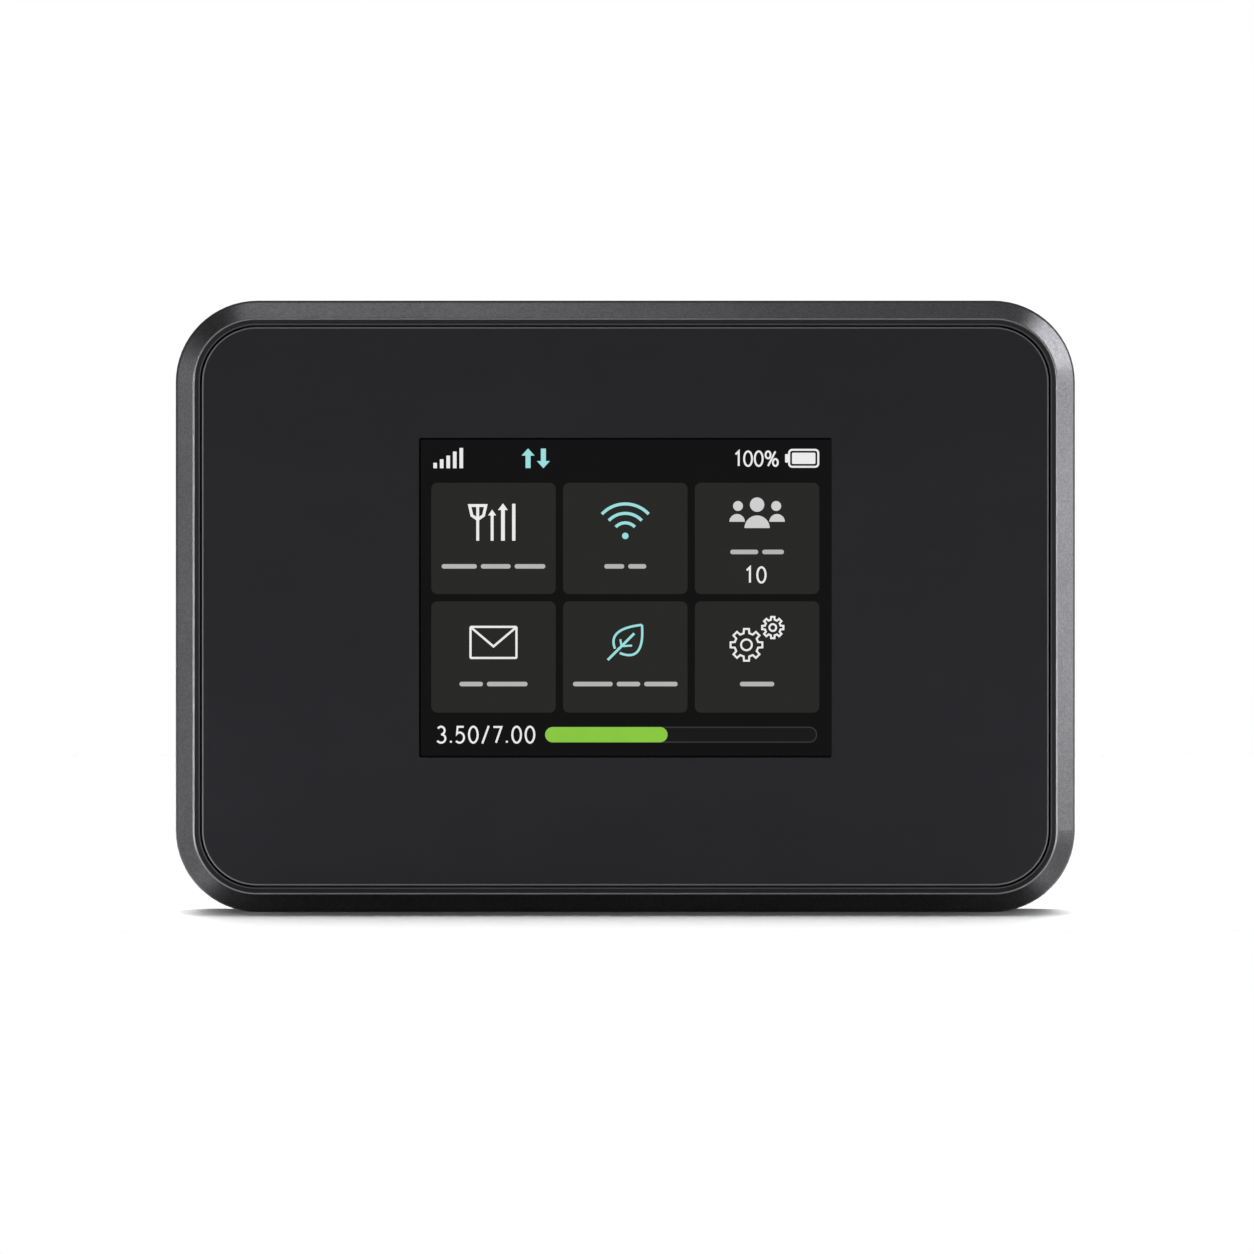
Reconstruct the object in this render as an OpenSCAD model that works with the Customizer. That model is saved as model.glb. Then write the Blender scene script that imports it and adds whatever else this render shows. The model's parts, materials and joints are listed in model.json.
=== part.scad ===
// Pocket mobile hotspot with a colour touch display in a glass front, a bevelled frame,
// a removable back cover, a battery pack, a nano-SIM socket and a USB-C port.
//
// Every piece is modelled lying face up: x runs across the face, y up the face and z from
// the back of the cover (0) to the crest of the front bevel (body_d). stand() then turns
// the assembly upright on its long lower edge, with the face towards -Y. Sizes are in mm.

/* [Body] */
// Width of the body
body_w = 100; // [97:0.5:110]
// Height of the body as it stands
body_h = 68; // [67:0.5:76]
// Radius of the outline's four corners
corner_r = 9.1; // [8:0.1:10.5]
// Thickness of the front frame's side wall
frame_wall = 1.5; // [1.2:0.1:1.8]
// Clearance between the chassis and the shells around it
fit_gap = 0.15; // [0.1:0.05:0.25]

/* [Front bevel] */
// Width of the outer bevel, seen from the front
bevel_w = 2.1; // [1.5:0.1:2.2]
// Depth of the outer bevel, seen from the side
bevel_d = 2; // [1.6:0.1:2.4]
// Radius between the side wall and the outer bevel
edge_r = 1.2; // [0.4:0.1:1.6]
// Radius of the crest's two edges, between the outer and inner bevels
crest_r = 0.1; // [0.06:0.02:0.14]
// Height of the crest above the glass
crest_h = 0.35; // [0.2:0.05:0.5]
// Distance from the outline to the frame's lip around the glass
lip_inset = 2.8; // [2.6:0.02:3.2]
// Width of the flat lip at the foot of the inner bevel
lip_flat = 0.16; // [0.08:0.02:0.24]

/* [Glass and display] */
// Gap between the lip and the glass
glass_gap = 0.22; // [0.1:0.05:0.25]
// Thickness of the cover glass
glass_t = 1; // [0.7:0.1:1.2]
// Chamfer round the front edge of the glass
glass_chamfer = 0.16; // [0.1:0.02:0.25]
// Thickness of the tape that bonds the glass to the frame
tape_t = 0.15; // [0.1:0.05:0.25]
// Width of the clear window in the glass
window_w = 45.8; // [42:0.2:50]
// Height of the clear window in the glass
window_h = 35.5; // [32:0.5:38]
// Height of the window's centre above the middle of the face
window_rise = 0.95; // [0:0.05:2]
// Thickness of the frame's mid plate, which carries the glass
plate_t = 1.2; // [1:0.1:1.4]
// Border of the display module at its top and sides
lcd_side = 2.2; // [1.5:0.1:3]
// Border of the display module at its foot
lcd_foot = 4.5; // [3.5:0.1:5.5]
// Play between the display module and the mid plate
lcd_play = 0.25; // [0.2:0.05:0.4]
// Thickness of the touch sensor and its clear bond
sensor_t = 0.3; // [0.2:0.05:0.5]
// Thickness of the liquid-crystal cell
cell_t = 0.9; // [0.7:0.1:1.2]
// Thickness of the backlight
light_t = 1.2; // [1:0.1:1.5]
// Thickness of the display tray's sheet steel
tray_t = 0.2; // [0.15:0.05:0.3]
// Thickness of the foam between the display and the board
foam_t = 0.4; // [0.3:0.1:0.8]

/* [Board] */
// Thickness of the main board
board_t = 1; // [0.8:0.1:1.2]
// Gap between the board and the frame's side walls
board_gap = 0.5; // [0.4:0.1:0.8]
// Width of the antenna bay at each end of the board
antenna_bay = 11; // [10:0.5:12]
// Height of the shield cans
can_h = 1.7; // [1.5:0.1:2.2]
// Thickness of the shield cans' sheet metal
can_sheet = 0.2; // [0.15:0.05:0.3]
// Thickness of the thermal pads on the shield cans
thermal_t = 0.25; // [0.2:0.05:0.5]
// Thickness of the flexible circuits
flex_t = 0.15; // [0.1:0.05:0.2]

/* [Battery and chassis] */
// Width of the battery pack
battery_w = 62; // [56:0.5:65]
// Height of the battery pack
battery_h = 50; // [44:0.5:50.5]
// Thickness of the battery pack
battery_t = 5.5; // [4.8:0.1:6.5]
// Play around the battery pack in its bay
battery_play = 0.3; // [0.2:0.05:0.4]
// Width of the plastic head at the battery's contact end
battery_head = 4; // [3:0.5:6]
// Thickness of the chassis floor under the battery
floor_t = 0.9; // [0.8:0.1:1.2]
// Thickness of the chassis rim
rim_t = 1; // [0.8:0.1:1.2]
// Thickness of the ribs around the battery
rib_t = 1; // [0.8:0.1:1.2]

/* [Back cover] */
// Thickness of the cover's back
cover_t = 1.5; // [1.2:0.1:1.8]
// Thickness of the cover's side wall
cover_wall = 1.3; // [1.1:0.1:1.5]
// Depth of the cover, from its back to the parting line
cover_depth = 5.4; // [4.8:0.1:6]
// Radius of the edge around the cover's back
back_r = 1.8; // [1.2:0.1:2.4]
// Width of the parting line
part_gap = 0.15; // [0.1:0.05:0.25]
// Thickness of the foam pad that steadies the battery
pad_t = 0.3; // [0.2:0.05:0.5]
// Width of the fingernail notch
notch_w = 12; // [8:0.5:16]
// Depth of the fingernail notch into the side wall
notch_d = 0.6; // [0.4:0.1:0.8]
// Width of each guide lug inside the cover
lug_w = 6; // [4:0.5:8]

/* [Screws] */
// Radius of the screws' thread
screw_r = 0.7; // [0.6:0.05:0.8]
// Radius of the screws' heads
head_r = 1.25; // [1.15:0.05:1.3]
// Height of the screws' heads
head_h = 0.6; // [0.5:0.05:0.7]
// Radius of the bosses that clamp the board
boss_r = 2; // [1.8:0.1:2.2]
// Distance from the outline to the screws' centres
screw_inset = 5.25; // [5.2:0.05:5.4]

/* [Power key] */
// Distance of the power key's middle from the body's right side
key_inset = 23; // [20:0.5:30]
// Length of the key
key_l = 10; // [8:0.5:12]
// Thickness of the key
key_t = 1.9; // [1.5:0.1:2.4]
// Gap round the key in the frame's wall
key_gap = 0.12; // [0.08:0.02:0.2]
// Travel of the key
key_travel = 0.3; // [0.2:0.05:0.4]
// Thickness of the key's inner flange
flange_d = 0.7; // [0.5:0.1:0.9]
// Height of the tact switch behind the key
switch_h = 1.6; // [1.3:0.1:1.7]

/* [USB-C port] */
// Height of the port's centre above the middle of the face
usb_y = -12; // [-15:0.5:-9]
// Width of the plug's opening
usb_w = 8.34; // [8.34:0.01:8.5]
// Height of the plug's opening
usb_h = 2.56; // [2.56:0.01:2.7]
// Thickness of the port's steel shell
usb_sheet = 0.3; // [0.25:0.05:0.35]
// Length of the port's shell
usb_l = 7.3; // [7:0.1:8]
// Recess of the shell behind the side wall
usb_recess = 0.4; // [0.2:0.1:0.8]

/* [SIM socket] */
// Width of the card's slot
card_w = 8.8; // [8.8:0.05:9]
// Length of the socket, along the card's travel
sim_l = 11; // [10:0.5:12]
// Height of the card's slot
card_t = 0.8; // [0.7:0.05:0.9]
// Length of the floor window that the card goes in by
sim_window = 26; // [24:0.5:28]

/* [Hidden] */
$fn = 64;

// Segments in each small rounded edge of a swept profile
arc_steps = 8;
// Small clearances and overlaps
slip = 0.05;
bond = 0.4;

// Heights of the stacked layers, from the back to the front
battery_z = cover_t + pad_t;
floor_z = battery_z + battery_t;
floor_top = floor_z + floor_t;
can_z = floor_top + thermal_t;
board_z = can_z + can_h;
board_top = board_z + board_t;
tray_z = board_top + foam_t;
light_z = tray_z + tray_t;
cell_z = light_z + light_t;
sensor_z = cell_z + cell_t;
glass_z = sensor_z + sensor_t;
glass_top = glass_z + glass_t;
body_d = glass_top + crest_h;
plate_top = glass_z - tape_t;
plate_z = plate_top - plate_t;

// Flat top of the crest, wide enough for its rounded edges
crest_w = 1.4 * crest_r;

// Insets from the outline
chassis_inset = max(frame_wall, cover_wall) + fit_gap;
bay_inset = chassis_inset + rim_t;
glass_inset = lip_inset + glass_gap;

// Display module
lcd_w = window_w + 2 * lcd_side;
lcd_h = window_h + lcd_side + lcd_foot;
lcd_y = window_rise + (lcd_side - lcd_foot) / 2;
lcd_inner = tray_t + slip;

// Flexible circuits: width, reach out from the module, and the part held in the socket
flex_l = 12;
flex_run = 3;
flex_grip = 1;
socket_d = 2.4;

// Battery bay, against the chassis rim at the left
battery_x = battery_w / 2 + battery_play + bay_inset - body_w / 2;
battery_end = battery_x + battery_w / 2;
rib_end = battery_end + battery_play + rib_t;

// Main board, with a tab that reaches out to the port
board_w = body_w - 2 * antenna_bay;
board_h = body_h - 2 * (frame_wall + board_gap);
board_end = body_w / 2 - frame_wall - board_gap;
port_tab = 16;

// Screws, three along the top and three along the bottom
screw_margin = 4;
screw_x = board_w / 2 - screw_margin;
screw_y = body_h / 2 - screw_inset;
screw_points = [for (x = [-screw_x, 0, screw_x], y = [-screw_y, screw_y]) [x, y]];
head_sink = head_h + 0.1;

// Power key and its switch
key_x = body_w / 2 - key_inset;
key_z = board_z - switch_h / 2;
flange_l = key_l + 2.4;
flange_t = key_t + 0.8;
wall_y = body_h / 2 - frame_wall;
flange_y = wall_y - slip - flange_d;
switch_y = flange_y - key_travel - 0.4;
plunger_sink = key_travel + 0.3;
plunger_w = 1.8;
plunger_t = 0.9;
switch_w = 4.6;
switch_d = 1.9;

// USB-C port
usb_z = board_z + board_t / 2;
usb_x = body_w / 2 - usb_recess;
usb_outer_w = usb_w + 2 * usb_sheet;
usb_outer_h = usb_h + 2 * usb_sheet;

// SIM socket, at the right edge of the board
sim_side = 0.6;
sim_w = card_w + 2 * sim_side;
sim_x = board_w / 2 - sim_w / 2 - 0.8;
sim_floor = 0.4;
sim_roof = 0.2;
sim_window_w = sim_w + 1;
sim_y = sim_l / 2 - sim_window / 2 + 0.5;

// Battery contacts
contact_x = battery_end + 0.5;
contact_d = 2.8;
contact_l = 11;
contact_pitch = 2.5;
contact_z = battery_z + battery_t / 2;
terminal_sink = 0.1;

// Antenna carriers, seated on the chassis floor at both ends
antenna_gap = 0.6;
carrier_in = board_w / 2 + antenna_gap;
carrier_out = body_w / 2 - frame_wall - 0.4;
carrier_l = 44;
carrier_top = plate_z - 0.3;
trace_t = 0.12;
right_carrier_y = usb_y + port_tab / 2 + 1;

// ---------- helpers ----------

module stand() {
    translate([0, 0, body_h / 2]) rotate([90, 0, 0]) translate([0, 0, -body_d / 2]) children();
}

function unit(v) = v / norm(v);

// Points of the arc of radius r that rounds corner b between a and c
function fillet(a, b, c, r) =
    let (p = unit(a - b), q = unit(c - b),
         half = acos(p * q) / 2,
         centre = b + unit(p + q) * r / sin(half),
         from = b + p * r / tan(half) - centre,
         to = b + q * r / tan(half) - centre,
         start = atan2(from.y, from.x),
         turn = atan2(to.y, to.x) - start,
         sweep = turn > 180 ? turn - 360 : turn < -180 ? turn + 360 : turn)
    [for (i = [0:arc_steps])
        centre + r * [cos(start + sweep * i / arc_steps), sin(start + sweep * i / arc_steps)]];

// An outline whose corners [x, y, r] are rounded where r is above 0
function rounded(p) =
    [for (i = [0:len(p) - 1])
        let (a = p[(i + len(p) - 1) % len(p)], b = p[i], c = p[(i + 1) % len(p)])
        each (b[2] > 0
            ? fillet([a.x, a.y], [b.x, b.y], [c.x, c.y], b[2])
            : [[b.x, b.y]])];

module round_rect(w, h, r) {
    square([w - 2 * r, h], center = true);
    square([w, h - 2 * r], center = true);
    for (x = [-1, 1], y = [-1, 1]) translate([x * (w / 2 - r), y * (h / 2 - r)]) circle(r);
}

// A slab from z0 to z1 over a flat outline
module slab(z0, z1) {
    translate([0, 0, z0]) linear_extrude(z1 - z0) children();
}

// The body's own outline, moved inwards
module outline(inset) {
    round_rect(body_w - 2 * inset, body_h - 2 * inset, corner_r - inset);
}

// Sweeps a profile round a rounded rectangle; its x is the distance in from the outline
module ring(w, h, r) {
    for (side = [0:3]) {
        reach = side % 2 == 0 ? w / 2 : h / 2;
        half = side % 2 == 0 ? h / 2 : w / 2;
        rotate([0, 0, 90 * side]) {
            translate([reach - r, 0, 0]) rotate([90, 0, 0])
                linear_extrude(2 * (half - r), center = true) radial(r) children();
            translate([reach - r, half - r, 0]) rotate_extrude(angle = 90) radial(r) children();
        }
    }
}

module radial(r) {
    translate([r, 0]) mirror([1, 0]) children();
}

// A rounded slab with chamfered edges at its back and front
module chamfered_slab(w, h, r, t, back, front) {
    inner = max(back, front, r / 2);
    ring(w, h, r)
        polygon([[0, back], [back, 0], [inner, 0], [inner, t], [front, t], [0, t - front]]);
    linear_extrude(t) round_rect(w - 2 * inner, h - 2 * inner, r - inner);
}

module stadium(l, h) {
    square([l - h, h], center = true);
    for (x = [-1, 1]) translate([x * (l - h) / 2, 0]) circle(h / 2);
}

module box(w, h, z0, z1) {
    translate([-w / 2, -h / 2, z0]) cube([w, h, z1 - z0]);
}

module at_screws() {
    for (p = screw_points) translate([p.x, p.y, 0]) children();
}

// ---------- front frame and glass ----------

frame_profile = rounded([
    [0, cover_depth, part_gap],
    [0, body_d - bevel_d, edge_r],
    [bevel_w - crest_w / 2, body_d, crest_r],
    [bevel_w + crest_w / 2, body_d, crest_r],
    [lip_inset - lip_flat, glass_top, 0],
    [lip_inset, glass_top, 0],
    [lip_inset, plate_top, 0],
    [lip_inset + bond, plate_top, 0],
    [lip_inset + bond, plate_z, 0],
    [frame_wall, plate_z, 0],
    [frame_wall, cover_depth, 0]
]);

module front_frame() {
    color([0.25, 0.25, 0.26]) difference() {
        union() {
            ring(body_w, body_h, corner_r) polygon(frame_profile);
            slab(plate_z, plate_top) difference() {
                outline(lip_inset);
                translate([0, lcd_y]) square([lcd_w + 2 * lcd_play, lcd_h + 2 * lcd_play], center = true);
            }
            at_screws() slab(board_top, plate_z + bond) circle(boss_r);
        }
        at_screws() slab(board_top - 1, plate_z + plate_t / 2) circle(screw_r + slip / 2);
        key_opening();
        usb_opening();
    }
}

// The hole through the top wall that the power key moves in
module key_opening() {
    translate([key_x, wall_y - bond, key_z]) rotate([-90, 0, 0])
        linear_extrude(frame_wall + 2 * bond) stadium(key_l + 2 * key_gap, key_t + 2 * key_gap);
}

// The hole through the right wall around the USB-C shell
module usb_opening() {
    translate([body_w / 2 - frame_wall - bond, usb_y, usb_z]) rotate([90, 0, 90])
        linear_extrude(frame_wall + 2 * bond)
            stadium(usb_outer_w + 2 * fit_gap, usb_outer_h + 2 * fit_gap);
}

module cover_glass() {
    color([0.15, 0.15, 0.17]) translate([0, 0, glass_z])
        chamfered_slab(body_w - 2 * glass_inset, body_h - 2 * glass_inset,
                       corner_r - glass_inset, glass_t, 0, glass_chamfer);
}

module glass_tape() {
    color("black") slab(plate_top, glass_z) difference() {
        outline(glass_inset + 0.3);
        translate([0, lcd_y]) square([lcd_w + 2, lcd_h + 2], center = true);
    }
}

// ---------- display module ----------

// Over the plan of the display module, moved in from its edge
module lcd_plan(inset) {
    translate([0, lcd_y]) square([lcd_w - 2 * inset, lcd_h - 2 * inset], center = true);
}

module touch_sensor() {
    color([0.3, 0.32, 0.35]) slab(sensor_z, glass_z) lcd_plan(0);
}

module lcd_cell() {
    color([0.12, 0.12, 0.13]) slab(cell_z, sensor_z) lcd_plan(lcd_inner);
}

module lcd_backlight() {
    color("white") slab(light_z, cell_z) lcd_plan(lcd_inner);
}

module lcd_tray() {
    color("silver") {
        slab(tray_z, light_z) lcd_plan(0);
        slab(light_z, cell_z + cell_t / 2) difference() {
            lcd_plan(0);
            lcd_plan(tray_t);
        }
    }
}

module lcd_foam() {
    color([0.2, 0.2, 0.2]) slab(board_top, tray_z) difference() {
        lcd_plan(1);
        lcd_plan(4);
    }
}

// A flexible circuit that comes down the module's edge and turns out to its connector
module flex_strip(width, top, run) {
    bottom = tray_z - flex_t;
    rotate([90, 0, 90]) linear_extrude(width, center = true) polygon(rounded([
        [0, top, 0], [-flex_t, top, 0],
        [-flex_t, tray_z, flex_t], [-run, tray_z, 0],
        [-run, bottom, 0], [0, bottom, 2 * flex_t]
    ]));
}

// At the foot of the module, halfway between two screws
module at_lcd_flex() {
    translate([-screw_x / 2, lcd_y - lcd_h / 2, 0]) children();
}

// At the right side of the module
module at_touch_flex() {
    translate([lcd_w / 2, lcd_y, 0]) rotate([0, 0, 90]) children();
}

module lcd_flex() {
    color("orange") at_lcd_flex() flex_strip(flex_l, cell_z + cell_t / 2, flex_run);
}

module touch_flex() {
    color("orange") at_touch_flex() flex_strip(flex_l, sensor_z + sensor_t, flex_run);
}

// The sockets on the board that the two flexible circuits plug into
module flex_connectors() {
    color([0.85, 0.82, 0.75]) {
        at_lcd_flex() flex_connector();
        at_touch_flex() flex_connector();
    }
}

module flex_connector() {
    translate([0, flex_grip - flex_run - socket_d / 2, 0]) difference() {
        box(flex_l + 2, socket_d, board_top, tray_z + 0.5);
        translate([0, socket_d / 2 - flex_grip / 2, 0])
            box(flex_l + 2 * slip, flex_grip + slip, tray_z - flex_t - slip, tray_z + slip);
    }
}

// ---------- main board ----------

module board_plan() {
    difference() {
        union() {
            round_rect(board_w, board_h, 2);
            translate([board_w / 2 - 4, usb_y - port_tab / 2])
                square([board_end - board_w / 2 + 4, port_tab]);
        }
        at_screws() circle(screw_r + fit_gap);
        translate([usb_x - usb_l - fit_gap, usb_y - usb_outer_w / 2 - fit_gap])
            square([usb_l, usb_outer_w + 2 * fit_gap]);
    }
}

module main_board() {
    color([0.05, 0.3, 0.2]) difference() {
        slab(board_z, board_top) board_plan();
        key_bay();
    }
}

// The space in front of the tact switch that the key's flange moves in
module key_bay() {
    translate([key_x, switch_y, key_z - flange_t / 2 - fit_gap])
        translate([-flange_l / 2 - fit_gap, 0, 0])
            cube([flange_l + 2 * fit_gap, body_h, flange_t + 2 * fit_gap]);
}

// Shield cans on the back of the board: centre x, y, width and height
can_left = 3 - board_w / 2;
can_w = 30;
modem_can = [can_left + can_w / 2, -8, can_w, 28];
power_can = [can_left + can_w / 2, 15.5, can_w, 15];
wlan_left = can_left + can_w + 3;
wlan_w = contact_x - bond - wlan_left;
wlan_can = [wlan_left + wlan_w / 2, -8, wlan_w, 28];

module shield(can) {
    color("silver") translate([can[0], can[1], 0]) {
        slab(can_z, can_z + can_sheet) round_rect(can[2], can[3], 0.8);
        slab(can_z + can_sheet, board_z) difference() {
            round_rect(can[2], can[3], 0.8);
            square([can[2] - 2 * can_sheet, can[3] - 2 * can_sheet], center = true);
        }
    }
}

module modem_shield() {
    shield(modem_can);
}

module power_shield() {
    shield(power_can);
}

module wlan_shield() {
    shield(wlan_can);
}

// Chips under the shields: the can, offset from its middle, and size
chips = [
    [modem_can, [-5, -3], [13, 13]], [modem_can, [8, 5], [8, 10]], [modem_can, [7, -8], [6, 5]],
    [power_can, [-6, 0], [6, 6]], [power_can, [5, 2], [4, 4]], [wlan_can, [0, 2], [9, 9]]
];

module board_chips() {
    color([0.1, 0.1, 0.1]) for (chip = chips)
        translate([chip[0][0] + chip[1].x, chip[0][1] + chip[1].y, 0])
            box(chip[2].x, chip[2].y, board_z - 0.9, board_z);
}

module thermal_pads() {
    color([0.6, 0.65, 0.75]) for (can = [modem_can, wlan_can])
        translate([can[0], can[1], 0]) box(can[2] - 6, can[3] - 8, floor_top, can_z);
}

// ---------- USB-C port ----------

module in_port() {
    translate([usb_x, usb_y, usb_z]) rotate([90, 0, 90]) children();
}

module usb_shell() {
    wing = 1.6;
    color("silver") difference() {
        union() {
            in_port() translate([0, 0, -usb_l]) linear_extrude(usb_l)
                stadium(usb_outer_w, usb_outer_h);
            translate([usb_x - usb_l / 2 - 1, usb_y, 0])
                box(2.4, usb_outer_w + wing, board_top, board_top + usb_sheet);
        }
        in_port() translate([0, 0, -usb_l - 1]) linear_extrude(usb_l + 2)
            stadium(usb_w, usb_h);
    }
}

tongue_w = 6.69;
tongue_t = 0.7;
tongue_base = 1.6;
tongue_back = 0.5;

module usb_tongue() {
    color([0.1, 0.1, 0.1]) in_port() {
        translate([0, 0, -usb_l]) linear_extrude(tongue_base) stadium(usb_w, usb_h);
        translate([0, 0, -usb_l / 2 - tongue_back / 2])
            cube([tongue_w, tongue_t, usb_l - tongue_back], center = true);
    }
}

module usb_contacts() {
    count = 12;
    pitch = 0.5;
    color("gold") in_port() for (face = [-1, 1], i = [0:count - 1])
        translate([(i - (count - 1) / 2) * pitch, face * (tongue_t / 2 + 0.04), -usb_l + tongue_base + 2])
            cube([0.25, 0.08, 4], center = true);
}

// ---------- power key ----------

module in_key() {
    translate([key_x, 0, key_z]) rotate([-90, 0, 0]) children();
}

module power_key() {
    color([0.2, 0.2, 0.21]) in_key() {
        crown = 0.1;
        translate([0, 0, flange_y + flange_d / 2])
            linear_extrude(body_h / 2 - crown - flange_y - flange_d / 2) stadium(key_l, key_t);
        translate([0, 0, body_h / 2 - crown])
            linear_extrude(crown) stadium(key_l - 2 * crown, key_t - 2 * crown);
        translate([0, 0, flange_y]) linear_extrude(flange_d)
            square([flange_l, flange_t], center = true);
    }
}

module switch_plunger() {
    color("white") in_key() translate([0, 0, switch_y - plunger_sink + key_travel])
        linear_extrude(flange_y - switch_y + plunger_sink - key_travel)
            stadium(plunger_w, plunger_t);
}

module key_switch() {
    color("silver") in_key() difference() {
        translate([0, 0, switch_y - switch_d]) linear_extrude(switch_d)
            square([switch_w, switch_h], center = true);
        translate([0, 0, switch_y - plunger_sink - slip]) linear_extrude(switch_d)
            stadium(plunger_w + 2 * slip, plunger_t + 2 * slip);
    }
}

// ---------- SIM socket ----------

module sim_base() {
    color([0.1, 0.1, 0.1]) translate([sim_x, sim_y, 0])
        box(sim_w - 2 * sim_roof, sim_l - 2 * sim_roof, board_z - sim_floor, board_z);
}

module sim_shell() {
    roof = board_z - sim_floor - card_t - sim_roof;
    color("silver") translate([sim_x, sim_y, 0]) difference() {
        box(sim_w, sim_l, roof, board_z);
        translate([0, sim_roof, 0]) box(sim_w - 2 * sim_roof, sim_l, roof + sim_roof, board_z + 1);
        translate([0, sim_l / 2, 0]) slab(roof - 1, roof + 1) circle(3);
    }
}

module sim_contacts() {
    color("gold") translate([sim_x, sim_y, 0]) for (x = [-2.54, 0, 2.54], y = [-3, 1.5])
        translate([x, y, 0]) box(1, 2.4, board_z - sim_floor - 0.15, board_z - sim_floor);
}

// ---------- battery contacts ----------

module contact_block() {
    color([0.12, 0.12, 0.12]) translate([contact_x, -contact_l / 2, contact_z - 1.6])
        cube([contact_d, contact_l, board_z - contact_z + 1.6]);
}

module contact_springs() {
    reach = contact_x - battery_end + terminal_sink;
    color("gold") for (i = [-1.5:1.5])
        translate([contact_x - reach, i * contact_pitch, contact_z]) rotate([90, 0, 0])
            linear_extrude(1, center = true) difference() {
                intersection() {
                    translate([reach + 0.6, 0]) circle(reach + 0.6);
                    translate([0, -1.5]) square([reach, 3]);
                }
                translate([reach + 0.6, 0]) circle(reach + 0.4);
            }
}

// ---------- antennas ----------

// Over the plan of each antenna carrier, moved in from its edge
module carrier_plan(inset) {
    width = carrier_out - carrier_in - 2 * inset;
    translate([-carrier_out + inset, -carrier_l / 2 + inset]) square([width, carrier_l - 2 * inset]);
    translate([carrier_in + inset, right_carrier_y + inset])
        square([width, carrier_l / 2 - right_carrier_y - 2 * inset]);
}

module antenna_carriers() {
    skin = 0.8;
    color([0.15, 0.15, 0.16]) {
        slab(carrier_top - skin, carrier_top) carrier_plan(0);
        slab(floor_top, carrier_top - skin) difference() {
            carrier_plan(0);
            carrier_plan(skin);
        }
    }
}

// A folded copper track on the front of each carrier
module antenna_traces() {
    track = 1.1;
    width = carrier_out - carrier_in - 1;
    left = -carrier_out + 0.5;
    right = carrier_in + 0.5;
    color([0.8, 0.5, 0.3]) slab(carrier_top, carrier_top + trace_t) {
        track_plan(left, -carrier_l / 2 + 0.5, carrier_l - 1, width, track);
        track_plan(right, right_carrier_y + 0.5, carrier_l / 2 - right_carrier_y - 1, width, track);
    }
}

module track_plan(x, y, length, width, track) {
    translate([x, y]) {
        square([track, length]);
        translate([width - track, 0]) square([track, length]);
        square([width, track]);
        translate([width / 2 - track / 2, length * 0.45]) square([width / 2, track]);
    }
}

// Clips that reach from the board's edge to the tracks
module antenna_clips() {
    reach = antenna_gap + 1.4;
    sheet = 0.15;
    clip_y = right_carrier_y + 0.5 + (carrier_l / 2 - right_carrier_y - 1) * 0.45 + 0.55;
    color("gold") for (side = [-1, 1]) {
        y = side > 0 ? clip_y : -carrier_l / 2 + 0.5 + (carrier_l - 1) * 0.45 + 0.55;
        translate([side * (board_w / 2 - 0.8), y, 0]) {
            box(0.8, 0.8, board_top, carrier_top + trace_t + sheet);
            translate([side * reach / 2, 0, 0])
                box(reach, 0.8, carrier_top + trace_t, carrier_top + trace_t + sheet);
        }
    }
}

// A sticker antenna on the back of the chassis floor, above the SIM window
module wlan_antenna() {
    gap = 1.5;
    low = sim_window / 2 + gap;
    high = screw_y - head_r - gap;
    color([0.1, 0.1, 0.1]) translate([sim_x, (low + high) / 2, 0])
        slab(floor_z - flex_t, floor_z) round_rect(sim_window_w, high - low, 1);
}

// ---------- chassis ----------

lug_x = [-screw_x / 2, screw_x / 2];
root_sink = 0.1;
rim_z = cover_t + 0.2;

module rear_chassis() {
    color([0.16, 0.16, 0.17]) difference() {
        union() {
            slab(floor_z, floor_top) outline(chassis_inset);
            ring(body_w, body_h, corner_r) translate([chassis_inset, rim_z])
                square([rim_t, floor_z - rim_z + bond]);
            battery_ribs();
            at_screws() slab(floor_top - bond, board_z) circle(boss_r);
        }
        at_screws() {
            slab(floor_z - 1, floor_z + head_sink) circle(head_r + fit_gap);
            slab(floor_z, board_z + 1) circle(screw_r + fit_gap);
        }
        translate([sim_x, 0, 0]) box(sim_window_w, sim_window, floor_z - 1, floor_top + 1);
        translate([contact_x + contact_d / 2, 0, 0])
            box(contact_d + 2 * fit_gap, contact_l + 2 * fit_gap, rim_z, floor_top + 1);
        key_bay();
        at_lugs() lug(fit_gap);
    }
}

// Ribs along the battery's top, bottom and contact end, with a gap at the contacts
module battery_ribs() {
    left = -body_w / 2 + chassis_inset + rim_t / 2;
    high = battery_h / 2 + battery_play;
    end = battery_end + battery_play;
    slab(battery_z + fit_gap, floor_z + bond) {
        for (side = [-1, 1]) translate([left, side * (high + rib_t / 2) - rib_t / 2])
            square([rib_end - left, rib_t]);
        for (side = [-1, 1]) translate([end, side > 0 ? contact_l / 2 + 2 : -high])
            square([rib_t, high - contact_l / 2 - 2]);
    }
}

// Places for the cover's guide lugs: two along the top and two along the bottom
module at_lugs() {
    for (side = [0, 180], x = lug_x) rotate([0, 0, side]) translate([x, body_h / 2, 0]) children();
}

// A lug on the inside of the cover's wall, or with a clearance the channel that it runs in
module lug(clearance) {
    depth = chassis_inset + rim_t / 2 - fit_gap;
    root = cover_t - root_sink;
    translate([-lug_w / 2 - clearance, -depth - clearance, root - clearance])
        cube([lug_w + 2 * clearance, depth - cover_wall + root_sink + clearance,
              cover_depth - part_gap - root + 2 * clearance]);
}

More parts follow.
